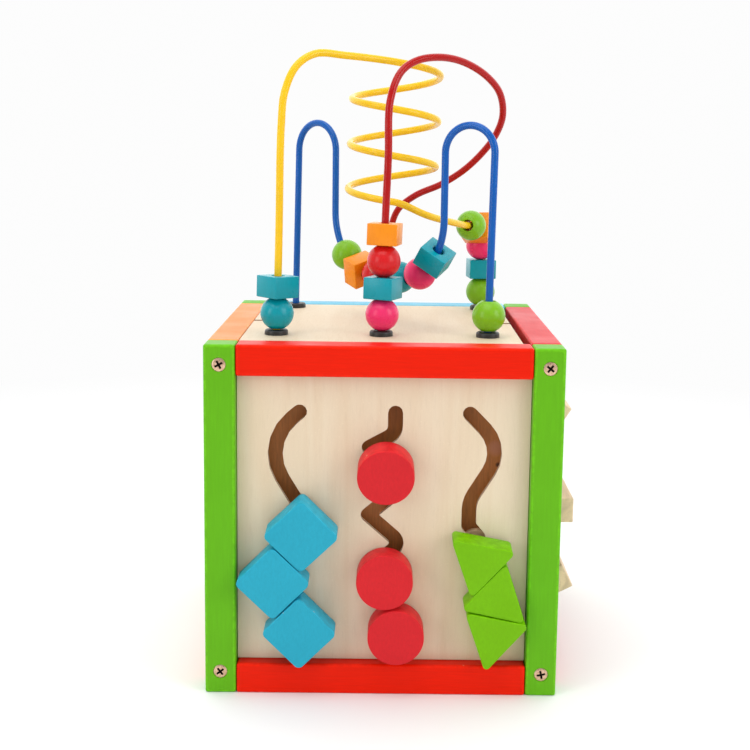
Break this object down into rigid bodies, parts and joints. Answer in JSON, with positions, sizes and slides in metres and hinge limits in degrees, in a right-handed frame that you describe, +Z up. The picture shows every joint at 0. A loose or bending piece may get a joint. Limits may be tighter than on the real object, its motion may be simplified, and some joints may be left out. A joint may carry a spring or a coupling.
{
  "type": "activity cube",
  "caption": "Free-standing wooden baby activity cube with a bead maze of bent wires on top, slotted sliders in front and spinning tiles at one side.",
  "frame": {"origin": "centre of the underside of the cube, on the surface that it stands on", "axes": "+Z up, -Y out of the front wall with the sliders, +X towards the side with the spinning tiles"},
  "size_m": [0.2112, 0.2121, 0.3642],
  "materials": {
    "green_bead_paint": "water-based paint on wood, satin, grain faintly visible",
    "teal_bead_paint": "water-based paint on wood, satin, grain faintly visible",
    "pink_bead_paint": "water-based paint on wood, satin, grain faintly visible",
    "orange_bead_paint": "water-based paint on wood, satin, grain faintly visible",
    "birch_plywood": "sanded birch veneer, clear matt lacquer",
    "sky_blue_paint": "water-based paint on wood, satin, grain faintly visible",
    "orange_red_paint": "water-based paint on wood, satin, grain faintly visible",
    "orange_paint": "water-based paint on wood, satin, grain faintly visible",
    "crimson_paint": "water-based paint on wood, satin, grain faintly visible",
    "blue_square_paint": "water-based paint on wood, satin, grain faintly visible",
    "blue_wire_coat": "plastic coating on steel wire, glossy",
    "red_bead_paint": "water-based paint on wood, satin, grain faintly visible",
    "green_triangle_paint": "water-based paint on wood, satin, grain faintly visible",
    "green_paint": "water-based paint on wood, satin, grain faintly visible",
    "red_disc_paint": "water-based paint on wood, satin, grain faintly visible",
    "red_wire_coat": "plastic coating on steel wire, glossy",
    "brown_backing_board": "dark brown stained board, matt",
    "bare_birch": "sanded bare hardwood",
    "yellow_wire_coat": "plastic coating on steel wire, glossy"
  },
  "bodies": {
    "cube": {"back_wall": "birch_plywood", "base_panel": "birch_plywood", "base_rail_back": "sky_blue_paint", "base_rail_front": "orange_red_paint", "base_rail_left": "orange_paint", "base_rail_right": "crimson_paint", "blue_wire": "blue_wire_coat", "front_wall": "birch_plywood", "left_wall": "birch_plywood", "post_back_left": "green_paint", "post_back_right": "green_paint", "post_front_left": "green_paint", "post_front_right": "green_paint", "red_wire": "red_wire_coat", "slot_backing_board": "brown_backing_board", "tile_dowel_1": "bare_birch", "tile_dowel_2": "bare_birch", "tile_dowel_3": "bare_birch", "top_panel": "birch_plywood", "top_rail_back": "sky_blue_paint", "top_rail_front": "orange_red_paint", "top_rail_left": "orange_paint", "top_rail_right": "crimson_paint", "yellow_wire": "yellow_wire_coat"},
    "front_left_bead_1_teal_ball": {"front_left_bead_1_teal_ball": "teal_bead_paint"},
    "front_left_bead_2_teal_block": {"front_left_bead_2_teal_block": "teal_bead_paint"},
    "front_middle_bead_1_pink_ball": {"front_middle_bead_1_pink_ball": "pink_bead_paint"},
    "front_middle_bead_2_teal_block": {"front_middle_bead_2_teal_block": "teal_bead_paint"},
    "front_middle_bead_3_red_ball": {"front_middle_bead_3_red_ball": "red_bead_paint"},
    "front_middle_bead_4_orange_block": {"front_middle_bead_4_orange_block": "orange_bead_paint"},
    "front_right_bead_1_green_ball": {"front_right_bead_1_green_ball": "green_bead_paint"},
    "back_right_bead_1_green_ball": {"back_right_bead_1_green_ball": "green_bead_paint"},
    "back_right_bead_2_teal_block": {"back_right_bead_2_teal_block": "teal_bead_paint"},
    "back_right_bead_3_pink_ball": {"back_right_bead_3_pink_ball": "pink_bead_paint"},
    "back_right_bead_4_orange_block": {"back_right_bead_4_orange_block": "orange_bead_paint"},
    "back_right_bead_5_green_ball": {"back_right_bead_5_green_ball": "green_bead_paint"},
    "dip_left_bead_1_red_ball": {"dip_left_bead_1_red_ball": "red_bead_paint"},
    "dip_left_bead_2_orange_block": {"dip_left_bead_2_orange_block": "orange_bead_paint"},
    "dip_left_bead_3_green_ball": {"dip_left_bead_3_green_ball": "green_bead_paint"},
    "dip_right_bead_1_teal_ball": {"dip_right_bead_1_teal_ball": "teal_bead_paint"},
    "dip_right_bead_2_pink_ball": {"dip_right_bead_2_pink_ball": "pink_bead_paint"},
    "dip_right_bead_3_teal_block": {"dip_right_bead_3_teal_block": "teal_bead_paint"},
    "blue_square_slider_3": {"blue_square_slider_3": "blue_square_paint"},
    "blue_square_slider_2": {"blue_square_slider_2": "blue_square_paint"},
    "blue_square_slider_1": {"blue_square_slider_1": "blue_square_paint"},
    "green_triangle_slider_3": {"green_triangle_slider_3": "green_triangle_paint"},
    "green_triangle_slider_2": {"green_triangle_slider_2": "green_triangle_paint"},
    "green_triangle_slider_1": {"green_triangle_slider_1": "green_triangle_paint"},
    "red_disc_slider_3": {"red_disc_slider_3": "red_disc_paint"},
    "red_disc_slider_2": {"red_disc_slider_2": "red_disc_paint"},
    "red_disc_slider_1": {"red_disc_slider_1": "red_disc_paint"},
    "tile_1_1": {"tile_1_1": "bare_birch"},
    "tile_1_2": {"tile_1_2": "bare_birch"},
    "tile_1_3": {"tile_1_3": "bare_birch"},
    "tile_2_1": {"tile_2_1": "bare_birch"},
    "tile_2_2": {"tile_2_2": "bare_birch"},
    "tile_2_3": {"tile_2_3": "bare_birch"},
    "tile_3_1": {"tile_3_1": "bare_birch"},
    "tile_3_2": {"tile_3_2": "bare_birch"},
    "tile_3_3": {"tile_3_3": "bare_birch"}
  },
  "joints": [
    {"name": "front_left_bead_1_teal_ball_slide", "type": "slide", "parent": "cube", "child": "front_left_bead_1_teal_ball", "axis": [0.0218, 0, 0.9998], "range_m": [0, 0.04]},
    {"name": "front_left_bead_2_teal_block_slide", "type": "slide", "parent": "front_left_bead_1_teal_ball", "child": "front_left_bead_2_teal_block", "axis": [0.0218, 0, 0.9998], "range_m": [0, 0.04]},
    {"name": "front_middle_bead_1_pink_ball_slide", "type": "slide", "parent": "cube", "child": "front_middle_bead_1_pink_ball", "axis": [0.021, 0, 0.9998], "range_m": [0, 0.011]},
    {"name": "front_middle_bead_2_teal_block_slide", "type": "slide", "parent": "front_middle_bead_1_pink_ball", "child": "front_middle_bead_2_teal_block", "axis": [0.021, 0, 0.9998], "range_m": [0, 0.011]},
    {"name": "front_middle_bead_3_red_ball_slide", "type": "slide", "parent": "front_middle_bead_2_teal_block", "child": "front_middle_bead_3_red_ball", "axis": [0.021, 0, 0.9998], "range_m": [0, 0.011]},
    {"name": "front_middle_bead_4_orange_block_slide", "type": "slide", "parent": "front_middle_bead_3_red_ball", "child": "front_middle_bead_4_orange_block", "axis": [0.021, 0, 0.9998], "range_m": [0, 0.011]},
    {"name": "front_right_bead_1_green_ball_slide", "type": "slide", "parent": "cube", "child": "front_right_bead_1_green_ball", "axis": [0.0139, 0, 0.9999], "range_m": [0, 0.08]},
    {"name": "back_right_bead_1_green_ball_spin", "type": "hinge", "parent": "cube", "child": "back_right_bead_1_green_ball", "pos_m": [0.0638, 0.067, 0.2131], "axis": [0, 0, 1], "continuous": true},
    {"name": "back_right_bead_2_teal_block_spin", "type": "hinge", "parent": "cube", "child": "back_right_bead_2_teal_block", "pos_m": [0.0638, 0.067, 0.2287], "axis": [0, 0, 1], "continuous": true},
    {"name": "back_right_string_push", "type": "hinge", "parent": "cube", "child": "back_right_bead_3_pink_ball", "pos_m": [0.05708, 0.04396, 0.235], "axis": [0.96, -0.28, 0], "range_deg": [0, 14]},
    {"name": "back_right_block_push", "type": "hinge", "parent": "cube", "child": "back_right_bead_4_orange_block", "pos_m": [0.05708, 0.04396, 0.235], "axis": [0.96, -0.28, 0], "range_deg": [0, 14]},
    {"name": "back_right_ball_push", "type": "slide", "parent": "cube", "child": "back_right_bead_5_green_ball", "axis": [-0.3249, -0.9439, 0.0587], "range_m": [0, 0.00586]},
    {"name": "dip_left_bead_1_red_ball_slide", "type": "slide", "parent": "cube", "child": "dip_left_bead_1_red_ball", "axis": [0.6241, -0.7813, 0], "range_m": [0, 0.0024]},
    {"name": "dip_left_bead_2_orange_block_slide", "type": "hinge", "parent": "cube", "child": "dip_left_bead_2_orange_block", "pos_m": [-0.00978, 0.01231, 0.2675], "axis": [0.7813, 0.6241, 0], "range_deg": [0, 9]},
    {"name": "dip_left_bead_3_green_ball_slide", "type": "hinge", "parent": "dip_left_bead_2_orange_block", "child": "dip_left_bead_3_green_ball", "pos_m": [-0.00978, 0.01231, 0.2675], "axis": [0.7813, 0.6241, 0], "range_deg": [0, 18]},
    {"name": "dip_right_bead_1_teal_ball_slide", "type": "hinge", "parent": "cube", "child": "dip_right_bead_1_teal_ball", "pos_m": [0.00988, -0.01231, 0.2675], "axis": [-0.7813, -0.6241, 0], "range_deg": [0, 8]},
    {"name": "dip_right_bead_2_pink_ball_slide", "type": "hinge", "parent": "dip_right_bead_1_teal_ball", "child": "dip_right_bead_2_pink_ball", "pos_m": [0.00988, -0.01231, 0.2675], "axis": [-0.7813, -0.6241, 0], "range_deg": [0, 8]},
    {"name": "dip_right_bead_3_teal_block_slide", "type": "hinge", "parent": "dip_right_bead_2_pink_ball", "child": "dip_right_bead_3_teal_block", "pos_m": [0.00988, -0.01231, 0.2675], "axis": [-0.7813, -0.6241, 0], "range_deg": [0, 18]},
    {"name": "blue_square_slider_3_slide", "type": "slide", "parent": "cube", "child": "blue_square_slider_3", "axis": [0, 0, 1], "range_m": [0, 0.003]},
    {"name": "blue_square_slider_2_slide", "type": "slide", "parent": "blue_square_slider_3", "child": "blue_square_slider_2", "axis": [0, 0, 1], "range_m": [0, 0.003]},
    {"name": "blue_square_slider_1_slide", "type": "slide", "parent": "blue_square_slider_2", "child": "blue_square_slider_1", "axis": [0, 0, 1], "range_m": [0, 0.004]},
    {"name": "green_triangle_slider_3_slide", "type": "slide", "parent": "cube", "child": "green_triangle_slider_3", "axis": [0, 0, 1], "range_m": [0, 0.003]},
    {"name": "green_triangle_slider_2_slide", "type": "slide", "parent": "green_triangle_slider_3", "child": "green_triangle_slider_2", "axis": [0, 0, 1], "range_m": [0, 0.003]},
    {"name": "green_triangle_slider_1_slide", "type": "slide", "parent": "green_triangle_slider_2", "child": "green_triangle_slider_1", "axis": [0, 0, 1], "range_m": [0, 0.003]},
    {"name": "red_disc_slider_3_slide", "type": "slide", "parent": "cube", "child": "red_disc_slider_3", "axis": [0, 0, 1], "range_m": [0, 0.003]},
    {"name": "red_disc_slider_2_slide", "type": "slide", "parent": "red_disc_slider_3", "child": "red_disc_slider_2", "axis": [0, 0, 1], "range_m": [0, 0.004]},
    {"name": "red_disc_slider_1_slide", "type": "slide", "parent": "cube", "child": "red_disc_slider_1", "axis": [0.6139, 0, -0.7894], "range_m": [-0.012, 0.011]},
    {"name": "tile_1_1_spin", "type": "hinge", "parent": "cube", "child": "tile_1_1", "pos_m": [0.09125, -0.052, 0.1503], "axis": [0, 1, 0], "continuous": true},
    {"name": "tile_1_2_spin", "type": "hinge", "parent": "cube", "child": "tile_1_2", "pos_m": [0.09125, 0, 0.1503], "axis": [0, 1, 0], "continuous": true},
    {"name": "tile_1_3_spin", "type": "hinge", "parent": "cube", "child": "tile_1_3", "pos_m": [0.09125, 0.052, 0.1503], "axis": [0, 1, 0], "continuous": true},
    {"name": "tile_2_1_spin", "type": "hinge", "parent": "cube", "child": "tile_2_1", "pos_m": [0.09125, -0.052, 0.1026], "axis": [0, 1, 0], "continuous": true},
    {"name": "tile_2_2_spin", "type": "hinge", "parent": "cube", "child": "tile_2_2", "pos_m": [0.09125, 0, 0.1026], "axis": [0, 1, 0], "continuous": true},
    {"name": "tile_2_3_spin", "type": "hinge", "parent": "cube", "child": "tile_2_3", "pos_m": [0.09125, 0.052, 0.1026], "axis": [0, 1, 0], "continuous": true},
    {"name": "tile_3_1_spin", "type": "hinge", "parent": "cube", "child": "tile_3_1", "pos_m": [0.09125, -0.052, 0.0549], "axis": [0, 1, 0], "continuous": true},
    {"name": "tile_3_2_spin", "type": "hinge", "parent": "cube", "child": "tile_3_2", "pos_m": [0.09125, 0, 0.0549], "axis": [0, 1, 0], "continuous": true},
    {"name": "tile_3_3_spin", "type": "hinge", "parent": "cube", "child": "tile_3_3", "pos_m": [0.09125, 0.052, 0.0549], "axis": [0, 1, 0], "continuous": true}
  ],
  "couplings": [
    {"joint": "back_right_block_push", "follows": "back_right_string_push", "ratio": 1},
    {"joint": "back_right_ball_push", "follows": "back_right_string_push", "m_per_rad": 0.024}
  ]
}
